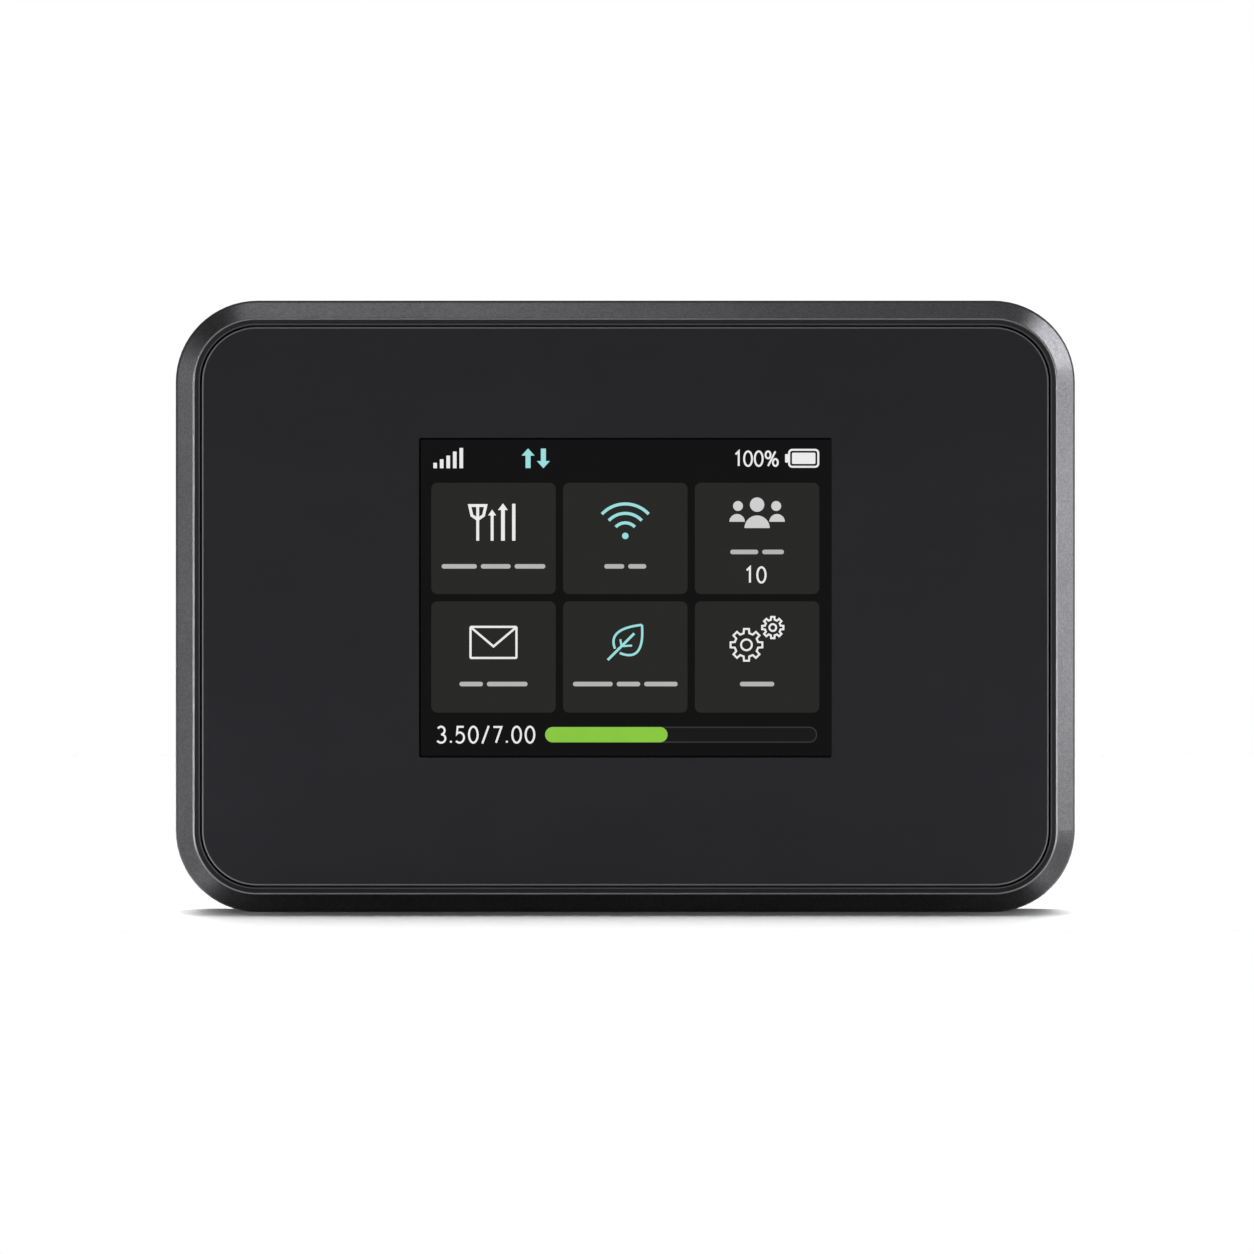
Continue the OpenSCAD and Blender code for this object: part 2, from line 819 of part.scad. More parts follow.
module chassis_screws() {
    tip = plate_z + plate_t / 4;
    seat = floor_z + head_sink;
    color("gray") at_screws() difference() {
        union() {
            slab(seat - head_h, seat) circle(head_r);
            slab(seat - head_h / 2, tip) circle(screw_r);
        }
        for (turn = [0, 90]) rotate([0, 0, turn]) box(1.4, 0.35, seat - head_h - 1, seat - head_h / 2);
    }
}

// ---------- battery ----------

module battery_pack() {
    color([0.1, 0.1, 0.11]) difference() {
        translate([battery_x, 0, battery_z])
            chamfered_slab(battery_w, battery_h, 2, battery_t, 0.5, 0.5);
        translate([battery_end - battery_head, -battery_h, 0]) cube([battery_w, 2 * battery_h, body_d]);
    }
}

module battery_head_cap() {
    color([0.2, 0.2, 0.2]) difference() {
        intersection() {
            translate([battery_x, 0, battery_z])
                chamfered_slab(battery_w, battery_h, 2, battery_t, 0.5, 0.5);
            translate([battery_end - battery_head, -battery_h, 0])
                cube([battery_w, 2 * battery_h, body_d]);
        }
        at_terminals(0);
    }
}

module battery_terminals() {
    color("gold") at_terminals(terminal_sink);
}

// Pockets for the terminals, or with a setback the plates that lie in them
module at_terminals(setback) {
    for (i = [-1.5:1.5]) translate([battery_end - 0.5, i * contact_pitch - 0.8, contact_z - 1.2])
        cube([0.5 - setback + (setback > 0 ? 0 : 1), 1.6, 2.4]);
}

// ---------- back cover ----------

cover_profile = rounded([
    [0, cover_depth - part_gap, part_gap],
    [cover_wall, cover_depth - part_gap, 0],
    [cover_wall, cover_t, 0.4],
    [back_r + bond, cover_t, 0],
    [back_r + bond, 0, 0],
    [0, 0, back_r]
]);

module rear_cover() {
    color([0.2, 0.2, 0.21]) difference() {
        union() {
            ring(body_w, body_h, corner_r) polygon(cover_profile);
            slab(0, cover_t) outline(back_r);
            at_lugs() lug(0);
        }
        fingernail_notch();
    }
}

// A shallow scoop in the left wall, at the parting line
module fingernail_notch() {
    radius = (notch_w * notch_w / 4 + notch_d * notch_d) / (2 * notch_d);
    translate([notch_d - body_w / 2 - radius, -body_h / 5, cover_depth - part_gap - 1.3])
        cylinder(r = radius, h = 2, $fn = 180);
}

module battery_pad() {
    color([0.25, 0.25, 0.25]) translate([battery_x, 0, 0])
        box(battery_w * 0.6, battery_h * 0.5, cover_t, battery_z);
}

// ---------- assembly ----------

stand() {
    front_frame();
    cover_glass();
    glass_tape();
    touch_sensor();
    touch_flex();
    lcd_cell();
    lcd_backlight();
    lcd_tray();
    lcd_flex();
    lcd_foam();
    main_board();
    board_chips();
    modem_shield();
    power_shield();
    wlan_shield();
    thermal_pads();
    flex_connectors();
    usb_shell();
    usb_tongue();
    usb_contacts();
    key_switch();
    switch_plunger();
    power_key();
    sim_base();
    sim_shell();
    sim_contacts();
    contact_block();
    contact_springs();
    antenna_carriers();
    antenna_traces();
    antenna_clips();
    wlan_antenna();
    rear_chassis();
    chassis_screws();
    battery_pack();
    battery_head_cap();
    battery_terminals();
    rear_cover();
    battery_pad();
}
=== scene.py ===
"""Looks of a pocket mobile hotspot: finishes for every CAD piece, the lit display, the studio."""

import json
import math

import bmesh
import bpy
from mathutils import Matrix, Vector


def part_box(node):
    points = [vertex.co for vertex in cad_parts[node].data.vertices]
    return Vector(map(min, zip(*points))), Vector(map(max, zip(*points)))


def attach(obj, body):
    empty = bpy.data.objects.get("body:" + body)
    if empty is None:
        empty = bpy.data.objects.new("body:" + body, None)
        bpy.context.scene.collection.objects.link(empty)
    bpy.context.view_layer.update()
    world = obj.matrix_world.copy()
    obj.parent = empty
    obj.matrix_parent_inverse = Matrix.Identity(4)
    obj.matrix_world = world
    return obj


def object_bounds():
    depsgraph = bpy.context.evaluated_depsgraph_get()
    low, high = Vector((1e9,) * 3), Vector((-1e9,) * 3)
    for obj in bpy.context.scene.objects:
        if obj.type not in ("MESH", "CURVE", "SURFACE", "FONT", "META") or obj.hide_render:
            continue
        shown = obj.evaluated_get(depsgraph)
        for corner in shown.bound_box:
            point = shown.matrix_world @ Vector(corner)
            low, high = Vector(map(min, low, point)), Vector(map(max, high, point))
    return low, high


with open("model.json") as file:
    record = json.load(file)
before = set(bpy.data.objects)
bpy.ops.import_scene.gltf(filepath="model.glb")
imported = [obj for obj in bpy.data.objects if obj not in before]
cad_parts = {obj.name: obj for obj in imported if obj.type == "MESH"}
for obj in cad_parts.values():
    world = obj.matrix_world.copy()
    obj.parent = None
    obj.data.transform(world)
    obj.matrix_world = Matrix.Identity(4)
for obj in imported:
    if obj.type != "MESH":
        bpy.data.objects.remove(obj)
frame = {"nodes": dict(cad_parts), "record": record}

CAD_LOW, CAD_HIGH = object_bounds()
NODES = frame["nodes"]
MM = 0.001

# Sizes of the front, as the body's source has them
CORNER = 9.1 * MM
CREST = 2.1 * MM
LIP = 2.8 * MM


# ---------------------------------------------------------------- shader helpers


def linear(code):
    """A colour written as #rrggbb, as the linear values that a shader takes."""
    parts = [int(code[i : i + 2], 16) / 255 for i in (1, 3, 5)]
    return [p / 12.92 if p <= 0.04045 else ((p + 0.055) / 1.055) ** 2.4 for p in parts]


class Graph:
    """A material's node tree, built one node at a time."""

    def __init__(self, name):
        self.material = bpy.data.materials.new(name)
        self.material.use_nodes = True
        self.tree = self.material.node_tree
        self.shader = self.tree.nodes["Principled BSDF"]

    def add(self, kind, inputs=None, **properties):
        node = self.tree.nodes.new("ShaderNode" + kind)
        for key, value in properties.items():
            setattr(node, key, value)
        for key, value in (inputs or {}).items():
            if isinstance(value, bpy.types.NodeSocket):
                self.tree.links.new(value, node.inputs[key])
            else:
                node.inputs[key].default_value = value
        return node

    def wire(self, output, key):
        """Feeds one of the shader's own sockets."""
        self.tree.links.new(output, self.shader.inputs[key])

    def set(self, **values):
        """Sets uniform numbers straight on the shader's own sockets."""
        for key, value in values.items():
            self.shader.inputs[key.replace("_", " ").title()].default_value = value

    def place(self):
        """Where a point lies in its own piece, in metres."""
        return self.add("TexCoord").outputs["Object"]

    def noise(self, size, detail=3.0, stretch=(1, 1, 1)):
        """Noise whose blotches are about size metres across."""
        at = self.add("Mapping", {"Vector": self.place(), "Scale": stretch}).outputs[0]
        return self.add("TexNoise", {"Vector": at, "Scale": 1 / size, "Detail": detail}).outputs[0]

    def remap(self, value, low, high, start=0.3, end=0.7):
        """low where the value is at start, high where it is at end, clamped past both."""
        sockets = {"Value": value, "From Min": start, "From Max": end,
                   "To Min": low, "To Max": high}
        return self.add("MapRange", sockets).outputs[0]

    def blend(self, factor, a, b):
        """Colour a where the factor is 0, colour b where it is 1."""
        node = self.add("Mix", data_type="RGBA")
        for key, value in ((0, factor), (6, a), (7, b)):
            if isinstance(value, bpy.types.NodeSocket):
                self.tree.links.new(value, node.inputs[key])
            else:
                node.inputs[key].default_value = value if key == 0 else [*value, 1]
        return node.outputs[2]

    def inset(self, half_w, half_h, corner):
        """How far a point lies inside a rounded outline round the middle of the body."""
        lowered = {"Vector": self.place(), "Location": (0, 0, -half_h)}
        middle = self.add("Mapping", lowered).outputs[0]
        folded = self.add("VectorMath", {0: middle}, operation="ABSOLUTE").outputs[0]
        low = (half_w - corner, 1, half_h - corner)
        past = self.add("VectorMath", {0: folded, 1: low}, operation="SUBTRACT").outputs[0]
        outside = self.add("VectorMath", {0: past, 1: (0, 0, 0)}, operation="MAXIMUM").outputs[0]
        reach = self.add("VectorMath", {0: outside}, operation="LENGTH").outputs["Value"]
        flat = self.add("SeparateXYZ", {0: past}).outputs
        side = self.add("Math", {0: flat["X"], 1: flat["Z"]}, operation="MAXIMUM").outputs[0]
        inner = self.add("Math", {0: side, 1: 0.0}, operation="MINIMUM").outputs[0]
        total = self.add("Math", {0: reach, 1: inner}, operation="ADD").outputs[0]
        return self.add("Math", {0: corner, 1: total}, operation="SUBTRACT").outputs[0]

    def band(self, value, middle, half, fade):
        """1 where the value is within half of middle, 0 beyond fade."""
        away = self.add("Math", {0: value, 1: middle}, operation="SUBTRACT").outputs[0]
        size = self.add("Math", {0: away}, operation="ABSOLUTE").outputs[0]
        return self.remap(size, 1, 0, half, fade)

    def edges(self, radius):
        """How much of an edge's rounding lies under a point, and the rounded normal."""
        soft = self.add("Bevel", {"Radius": radius}, samples=4).outputs[0]
        face = self.add("NewGeometry").outputs["Normal"]
        turn = self.add("VectorMath", {0: soft, 1: face}, operation="DOT_PRODUCT").outputs["Value"]
        sharp, level = 0.75, 0.995
        return self.remap(turn, 1.0, 0.0, sharp, level), soft


def finish(name, colour, rough, metal=0.0, mottle=0.12, blotch=6 * MM, grain=0.25 * MM,
           depth=0.004 * MM, wear=None, edge=0.08 * MM, stretch=(1, 1, 1), **sockets):
    """A worn, slightly uneven surface: colour blotches, fine grain in bump and gloss, edge wear."""
    graph = Graph(name)
    base = linear(colour)
    dark = [c * (1 - mottle) for c in base]
    light = [min(1, c * (1 + mottle)) for c in base]
    blotches = graph.remap(graph.noise(blotch, 4, stretch), 0, 1)
    tone = graph.blend(blotches, dark, light)
    fine = graph.noise(grain, 2, stretch)
    worn, soft = graph.edges(edge)
    rubbed = linear(wear) if wear else [min(1, c * 1.5 + 0.01) for c in base]
    patchy = graph.add("Math", {0: worn, 1: graph.remap(graph.noise(blotch / 3), 0.25, 1)},
                       operation="MULTIPLY").outputs[0]
    graph.wire(graph.blend(patchy, tone, rubbed), "Base Color")
    graph.wire(graph.remap(fine, rough - 0.05, rough + 0.06), "Roughness")
    bump = graph.add("Bump", {"Height": fine, "Distance": depth, "Strength": 1.0, "Normal": soft})
    graph.wire(bump.outputs[0], "Normal")
    graph.set(metallic=metal, **sockets)
    return graph.material


# ---------------------------------------------------------------- finishes


def frame_paint():
    """Satin metallic paint with a fine sparkle of flakes; matt and dark inside the crest, with a
    painted highlight along the crest and the lip, and painted shade in the groove beside the glass.
    """
    graph = Graph("frame_paint")
    flake_size, flake_depth = 0.12 * MM, 0.0015 * MM
    flake = graph.add("TexVoronoi", {"Vector": graph.place(), "Scale": 1 / flake_size})
    sparkle = graph.add("SeparateColor", {"Color": flake.outputs["Color"]}).outputs[0]
    tone = graph.blend(graph.remap(sparkle, 0, 1, 0, 1), linear("#464648"), linear("#58585a"))
    cloud = graph.remap(graph.noise(9 * MM, 4), 0.93, 1.07)
    shade = graph.add("VectorMath", {0: tone, "Scale": cloud}, operation="SCALE").outputs[0]
    worn, soft = graph.edges(0.1 * MM)
    paint = graph.blend(worn, shade, linear("#6b6b6d"))

    # How far in from the outline: a painted highlight along the crest, the matt ring inside it, a
    # painted highlight along the lip, and painted shade in the groove beside the glass
    depth_in = graph.inset(CAD_HIGH.x, CAD_HIGH.z / 2, CORNER)
    # Painted highlight: a pale, half-metal band along the crest, broken up by noise
    crest = graph.band(depth_in, CREST + 0.02 * MM, 0.05 * MM, 0.10 * MM)
    patchy = graph.remap(graph.noise(1.5 * MM, 3), 0.8, 1)
    rubbed = graph.add("Math", {0: crest, 1: patchy}, operation="MULTIPLY").outputs[0]
    inside = graph.remap(depth_in, 0, 1, CREST + 0.08 * MM, CREST + 0.15 * MM)
    # Painted highlight: a paler line along the rounded edge of the lip
    lip_highlight = graph.band(depth_in, LIP - 0.09 * MM, 0.04 * MM, 0.09 * MM)
    # Painted shade: the frame's face next to the glass made nearly black, as shade in the narrow
    # gap
    groove_shade = graph.remap(depth_in, 0, 1, LIP - 0.03 * MM, LIP)
    ring = graph.blend(lip_highlight, linear("#202022"), linear("#454547"))
    # The matt ring, carrying the painted lip highlight and the painted shade of the groove
    matt = graph.blend(groove_shade, ring, linear("#040404"))
    # The crest band's pale colour is the painted highlight along the crest
    colour = graph.blend(rubbed, graph.blend(inside, paint, matt), linear("#808082"))
    graph.wire(colour, "Base Color")
    gloss = graph.remap(graph.noise(0.6 * MM), 0.28, 0.34)
    matt_rough, crest_metal = 0.8, 0.55
    graph.wire(graph.add("Mix", {0: inside, 2: gloss, 3: matt_rough}).outputs[0], "Roughness")
    metal = graph.remap(inside, 0.95, 0.6, 0, 1)
    graph.wire(graph.add("Mix", {0: crest, 2: metal, 3: crest_metal}).outputs[0], "Metallic")
    bump = graph.add("Bump", {"Height": sparkle, "Distance": flake_depth, "Normal": soft})
    graph.wire(bump.outputs[0], "Normal")
    return graph.material


def front_glass():
    """Polished glass, printed dark from behind, with a ground chamfer round its edge."""
    graph = Graph("front_glass")
    normal = graph.add("NewGeometry").outputs["True Normal"]
    facing = graph.add("SeparateXYZ", {0: normal}).outputs["Y"]
    flat = graph.remap(facing, 1.0, 0.0, -0.98, -0.9)
    smears = graph.remap(graph.noise(14 * MM, 3, (1, 1, 2)), 0, 1)
    ink = graph.blend(smears, linear("#242427"), linear("#262629"))
    graph.wire(graph.blend(flat, linear("#6c6c6e"), ink), "Base Color")
    haze = graph.remap(graph.noise(5 * MM, 4), 0.05, 0.08)
    ground_rough = 0.5
    graph.wire(graph.add("Mix", {0: flat, 2: ground_rough, 3: haze}).outputs[0], "Roughness")
    ripple = graph.noise(8 * MM, 1)
    graph.wire(graph.add("Bump", {"Height": ripple, "Distance": 0.0008 * MM}).outputs[0], "Normal")
    return graph.material


FINISHES = {
    "frame_paint": frame_paint,
    "front_glass": front_glass,
    "black_tape": lambda: finish("black_tape", "#141414", 0.7),
    "film": lambda: finish("film", "#2c2f33", 0.2, coat_weight=0.4),
    "flex_film": lambda: finish("flex_film", "#a8672a", 0.35, mottle=0.2, blotch=2 * MM),
    "display_cell": lambda: finish("display_cell", "#17181a", 0.12),
    "white_film": lambda: finish("white_film", "#e2e2e0", 0.6, mottle=0.03),
    "steel": lambda: finish("steel", "#b9babd", 0.3, metal=1.0, mottle=0.08, stretch=(1, 8, 8)),
    "screw_steel": lambda: finish("screw_steel", "#3a3a3c", 0.35, metal=1.0, wear="#9a9a9c"),
    "foam": lambda: finish("foam", "#2a2a2b", 0.95, grain=0.3 * MM, depth=0.05 * MM),
    "board": lambda: finish("board", "#1d4a33", 0.4, mottle=0.25, blotch=1.2 * MM, coat_weight=0.3),
    "black_plastic": lambda: finish("black_plastic", "#1c1c1d", 0.5),
    "thermal_rubber": lambda: finish("thermal_rubber", "#8391a6", 0.8, mottle=0.06),
    "pale_plastic": lambda: finish("pale_plastic", "#dcd7c8", 0.45, mottle=0.04),
    "gold": lambda: finish("gold", "#d9b261", 0.25, metal=1.0, wear="#f0d9a0"),
    "copper": lambda: finish("copper", "#c9875a", 0.35, metal=1.0, mottle=0.15),
    "key_plastic": lambda: finish("key_plastic", "#4a4a4d", 0.38, metal=0.5, wear="#8a8a8c"),
    "chassis_plastic": lambda: finish("chassis_plastic", "#262628", 0.6, depth=0.01 * MM),
    "battery_can": lambda: finish("battery_can", "#2b2c30", 0.45, mottle=0.06, blotch=12 * MM),
    "battery_plastic": lambda: finish("battery_plastic", "#222224", 0.55),
    "cover_plastic": lambda: finish("cover_plastic", "#2e2e30", 0.55, grain=0.35 * MM,
                                    depth=0.012 * MM, wear="#47474a"),
}


def dress_cad_nodes():
    """Gives every CAD node its record slot's finish, and smooth shading across curved strips."""
    made = {slot: make() for slot, make in FINISHES.items()}
    crease = math.radians(24)
    for part in frame["record"]["subparts"]:
        mesh = NODES[part["node"]].data
        mesh.materials.clear()
        mesh.materials.append(made[part["material_slot"]])
        mesh.shade_smooth()
        mesh.set_sharp_from_angle(angle=crease)


# ---------------------------------------------------------------- flat shapes for the display

GLASS_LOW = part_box("cover_glass")[0]
SENSOR_LOW, SENSOR_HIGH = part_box("touch_sensor")

# The window's size, the sensor's border round it, and one layer of the drawing, in millimetres
WINDOW_W = 45.8
WINDOW_H = 35.5
BORDER = 2.2
LAYER = 0.012
CENTRE = Vector((
    (SENSOR_LOW.x + SENSOR_HIGH.x) / 2,
    GLASS_LOW.y,
    SENSOR_HIGH.z - (BORDER + WINDOW_H / 2) * MM,
))


class Drawing:
    """Thin plates on the glass, drawn in millimetres from the middle of the window."""

    def __init__(self, name, finish_, layer):
        self.name, self.finish, self.layer = name, finish_, layer
        self.mesh = bmesh.new()

    def face(self, points):
        """One flat face, with x to the right and y up."""
        self.mesh.faces.new([self.mesh.verts.new((x, 0, y)) for x, y in points])

    def disc(self, x, y, radius, start=0, end=360, steps=32):
        rim = arc(x, y, radius, start, end, steps)
        self.face(rim if end - start < 360 else rim[:-1])

    def panel(self, x, y, width, height, radius=0.0):
        self.face(rounded_box(x, y, width, height, radius))

    def stroke(self, points, width, closed=False):
        """A line of even width with mitred corners."""
        left, right = offset(points, width / 2, closed), offset(points, -width / 2, closed)
        count = len(points)
        for i in range(count if closed else count - 1):
            j = (i + 1) % count
            self.face([left[i], left[j], right[j], right[i]])

    def figures(self, text, x, y, height, line, space):
        """Plain figures drawn with one even line, starting at x and centred on y."""
        at = x
        for sign in text:
            wide, strokes = FIGURES[sign]
            for points in strokes:
                placed = [(at + px * height, y + (py - 0.5) * height) for px, py in points]
                self.stroke(placed, line)
            at += (wide + space) * height

    def build(self):
        """Thickens the shapes by a layer, and sets them on the glass."""
        bmesh.ops.remove_doubles(self.mesh, verts=self.mesh.verts, dist=1e-4)
        bmesh.ops.recalc_face_normals(self.mesh, faces=self.mesh.faces)
        for face in self.mesh.faces:
            if face.normal.y > 0:
                face.normal_flip()
        grown = bmesh.ops.extrude_face_region(self.mesh, geom=self.mesh.faces[:])["geom"]
        lifted = [v for v in grown if isinstance(v, bmesh.types.BMVert)]
        back = LAYER * (self.layer - 1)
        for vert in self.mesh.verts:
            vert.co.y = -back
        for vert in lifted:
            vert.co.y = -back - LAYER
        bmesh.ops.recalc_face_normals(self.mesh, faces=self.mesh.faces)
        for vert in self.mesh.verts:
            vert.co = CENTRE + vert.co * MM
        data = bpy.data.meshes.new(self.name)
        self.mesh.to_mesh(data)
        self.mesh.free()
        data.materials.append(self.finish)
        piece = bpy.data.objects.new(self.name, data)
        bpy.context.scene.collection.objects.link(piece)
        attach(piece, "case")


def bow(x, y, across, up, start, end, steps=20):
    """Part of an oval, from start to end in degrees."""
    turns = [math.radians(start + (end - start) * i / steps) for i in range(steps + 1)]
    return [(x + across * math.cos(t), y + up * math.sin(t)) for t in turns]


def arc(x, y, radius, start, end, steps=24):
    """Part of a circle."""
    return bow(x, y, radius, radius, start, end, steps)


# Each figure's width and its lines, where 1 is the height of a figure
FIGURES = {
    "0": (0.54, [bow(0.27, 0.5, 0.27, 0.5, -90, 272, 36)]),
    "1": (0.42, [[(0.03, 0.80), (0.24, 1.0), (0.24, 0.0)]]),
    "3": (0.50, [bow(0.23, 0.76, 0.22, 0.24, 150, -90), bow(0.23, 0.26, 0.27, 0.26, 90, -150)]),
    "5": (0.50, [[(0.46, 0.99), (0.08, 0.99), (0.04, 0.56)]
                 + bow(0.20, 0.32, 0.28, 0.32, 115, -140)]),
    "7": (0.50, [[(0.0, 0.98), (0.50, 0.98), (0.16, 0.0)]]),
    ".": (0.10, [[(0.05, 0.0), (0.05, 0.12)]]),
    "/": (0.40, [[(0.0, -0.05), (0.40, 1.05)]]),
    "%": (0.86, [bow(0.18, 0.76, 0.17, 0.24, 0, 362), bow(0.68, 0.24, 0.17, 0.24, 0, 362),
                 [(0.18, 0.0), (0.68, 1.0)]]),
}


def rounded_box(x, y, width, height, radius):
    """The outline of a box round x, y, with square corners where the radius is 0."""
    if not radius:
        return [(x + sx * width / 2, y + sy * height / 2)
                for sx, sy in ((-1, -1), (1, -1), (1, 1), (-1, 1))]
    across, up = width / 2 - radius, height / 2 - radius
    corners = ((1, 1, 0), (-1, 1, 90), (-1, -1, 180), (1, -1, 270))
    return [p for sx, sy, turn in corners
            for p in arc(x + sx * across, y + sy * up, radius, turn, turn + 90, 8)]


def offset(points, distance, closed):
    """The points moved sideways, so that lines between them stay parallel to the old ones."""
    moved = []
    count = len(points)
    for i, point in enumerate(points):
        here = Vector(point)
        before = Vector(points[i - 1]) if closed or i else None
        after = Vector(points[(i + 1) % count]) if closed or i < count - 1 else None
        sides = [(here - before).normalized() if before is not None else None,
                 (after - here).normalized() if after is not None else None]
        sides = [s for s in sides if s is not None]
        normals = [Vector((-s.y, s.x)) for s in sides]
        middle = sum(normals, Vector((0, 0))).normalized()
        sharpest = 0.35
        moved.append(tuple(here + middle * distance / max(sharpest, middle.dot(normals[0]))))
    return moved


# ---------------------------------------------------------------- display


def glow(name, colour, spread=0.03):
    """A lit area of the display behind its glass, very slightly uneven."""
    graph = Graph(name)
    tone = linear(colour)
    cloud = graph.remap(graph.noise(3 * MM, 3), 1 - spread, 1 + spread)
    light = graph.add("VectorMath", {0: tone, "Scale": cloud}, operation="SCALE").outputs[0]
    graph.wire(light, "Emission Color")
    graph.wire(graph.remap(graph.noise(5 * MM, 4), 0.05, 0.08), "Roughness")
    graph.set(emission_strength=1.0, base_color=(0, 0, 0, 1))
    return graph.material


def make_display():
    """The lit display: a status row, six tiles with signs, and a bar of the data used."""
    painted_rim_shadow = glow("display_rim_shadow", "#020202")
    ground = glow("display_ground", "#121212")
    tile = glow("display_tile", "#282827")
    track = glow("display_track", "#191919")
    outline = glow("display_outline", "#343434")
    white = glow("display_white", "#ececec")
    grey = glow("display_grey", "#cfcfcf")
    soft_white = glow("display_soft_white", "#b4b4b4")
    teal = glow("display_teal", "#9adedc")
    green = glow("display_green", "#89c642")

    # Millimetres from here on: the painted shadow rim along the window's left, top and bottom, the
    # tiles' margin and gap, the rows over and under
    rim = 0.22
    margin = 1.37
    gap = 0.82
    row_h = 5.0
    tile_w = (WINDOW_W - 2 * margin - 2 * gap) / 3
    tile_h = (WINDOW_H - 2 * row_h - gap) / 2
    left, top = -WINDOW_W / 2, WINDOW_H / 2
    columns = [i * (tile_w + gap) for i in (-1, 0, 1)]
    rows = [i * (tile_h + gap) / 2 for i in (1, -1)]

    def drawn(name, colour, layer, draw):
        drawing = Drawing("display_" + name, colour, layer)
        draw(drawing)
        drawing.build()

    # Painted shadow: a dark plate under the field, which is shifted so a thin rim shows at the
    # left, top and bottom only, as the shadow of the window's edge
    drawn("rim_shadow_plate", painted_rim_shadow, 1, lambda d: d.panel(0, 0, WINDOW_W, WINDOW_H, 0.25))
    drawn("field", ground, 2,
          lambda d: d.panel(rim / 2, 0, WINDOW_W - rim, WINDOW_H - 2 * rim, 0.2))

    def tiles(d):
        for x in columns:
            for y in rows:
                d.panel(x, y, tile_w, tile_h, 0.67)

    drawn("tiles", tile, 3, tiles)

    upper, lower = rows
    one, two, three = columns
    drawn("bearers", white, 4, lambda d: bearers(d, one - 0.1, upper + 1.8))
    drawn("waves", teal, 4, lambda d: waves(d, two, upper + 0.28))
    drawn("users", grey, 4, lambda d: users(d, three, upper + 2.9))
    drawn("envelope", white, 4, lambda d: envelope(d, one, lower + 1.62))
    drawn("leaf", teal, 4, lambda d: leaf(d, two, lower + 1.62))
    drawn("gears", white, 4, lambda d: gears(d, three, lower))

    def captions(d):
        caption(d, one, upper - 3.1, (3.9, 3.3, 3.4))
        caption(d, two, upper - 3.1, (2.2, 2.0))
        caption(d, three, upper - 1.5, (3.1, 2.4))
        caption(d, one, lower - 3.0, (2.6, 4.5))
        caption(d, two, lower - 3.0, (4.4, 2.6, 3.7))
        caption(d, three, lower - 3.0, (3.8,))

    drawn("captions", soft_white, 4, captions)

    status = top - 2.28
    used_y = -top + 2.55
    drawn("signal", white, 4, lambda d: signal(d, left + 1.6, status - 1.1))
    drawn("traffic", teal, 4, lambda d: traffic(d, left + 12.96, status))
    battery_x = -left - 3.1

    def figures(d):
        d.figures("100%", battery_x - 7.6, status - 0.04, 1.62, 0.21, 0.19)
        d.figures("10", three - 1.2, upper - 4.05, 1.7, 0.22, 0.3)
        d.figures("3.50/7.00", left + 2.05, used_y, 1.78, 0.22, 0.29)

    drawn("figures", white, 4, figures)
    drawn("charge", white, 4, lambda d: charge(d, battery_x, status))

    bar_l, bar_h = 30.2, 1.79
    bar_x = left + 14.0 + bar_l / 2
    used = 0.45
    drawn("bar_outline", outline, 3,
          lambda d: d.panel(bar_x, used_y, bar_l, bar_h, bar_h / 2 - 0.01))
    drawn("bar_track", track, 4,
          lambda d: d.panel(bar_x, used_y, bar_l - 0.3, bar_h - 0.3, bar_h / 2 - 0.16))
    drawn("bar_used", green, 5,
          lambda d: d.panel(bar_x - bar_l * (1 - used) / 2, used_y, bar_l * used, bar_h - 0.1,
                            bar_h / 2 - 0.06))


def caption(d, x, y, words):
    """Short plain bars in place of a line of words."""
    space = 0.45
    at = x - (sum(words) + space * (len(words) - 1)) / 2
    for word in words:
        d.panel(at + word / 2, y, word, 0.5, 0.24)
        at += word + space


def bearers(d, x, y):
    """An aerial, an arrow and two posts."""
    line = 0.32
    foot = y - 2.05
    d.stroke([(x - 1.65, foot), (x - 1.65, y + 2.0)], line)
    d.stroke([(x - 2.55, y + 1.85), (x - 0.75, y + 1.85), (x - 1.0, y + 0.75), (x - 1.65, y + 0.3),
              (x - 2.3, y + 0.75)], line, closed=True)
    d.stroke([(x - 0.05, foot), (x - 0.05, y + 1.0)], line)
    d.face([(x - 0.5, y + 0.75), (x + 0.4, y + 0.75), (x - 0.05, y + 1.4)])
    d.stroke([(x + 1.15, foot), (x + 1.15, y + 1.6)], line + 0.1)
    d.face([(x + 0.6, y + 1.35), (x + 1.7, y + 1.35), (x + 1.15, y + 2.1)])
    d.stroke([(x + 2.35, foot), (x + 2.35, y + 2.05)], line + 0.05)


def waves(d, x, y):
    """Three arcs over a dot."""
    for radius in (1.45, 2.5, 3.55):
        d.stroke(arc(x, y, radius, 43, 137), 0.34)
    d.disc(x, y, 0.36)


def users(d, x, y):
    """Three heads over shoulders, the middle one in front."""
    for side in (-1, 1):
        d.disc(x + side * 2.12, y + 0.7, 0.55)
        d.disc(x + side * 2.12 + side * 0.1, y - 1.05, 0.86, 0, 180)
    d.disc(x, y + 0.85, 0.8)
    d.disc(x, y - 1.75, 1.4, 0, 180)


def envelope(d, x, y):
    """A box with a folded flap."""
    w, h, line = 5.1, 3.45, 0.24
    d.stroke(rounded_box(x, y, w, h, 0.12), line, closed=True)
    side, flap = w / 2 - 0.1, y + h / 2 - 0.1
    d.stroke([(x - side, flap), (x, y - 0.45), (x + side, flap)], line)


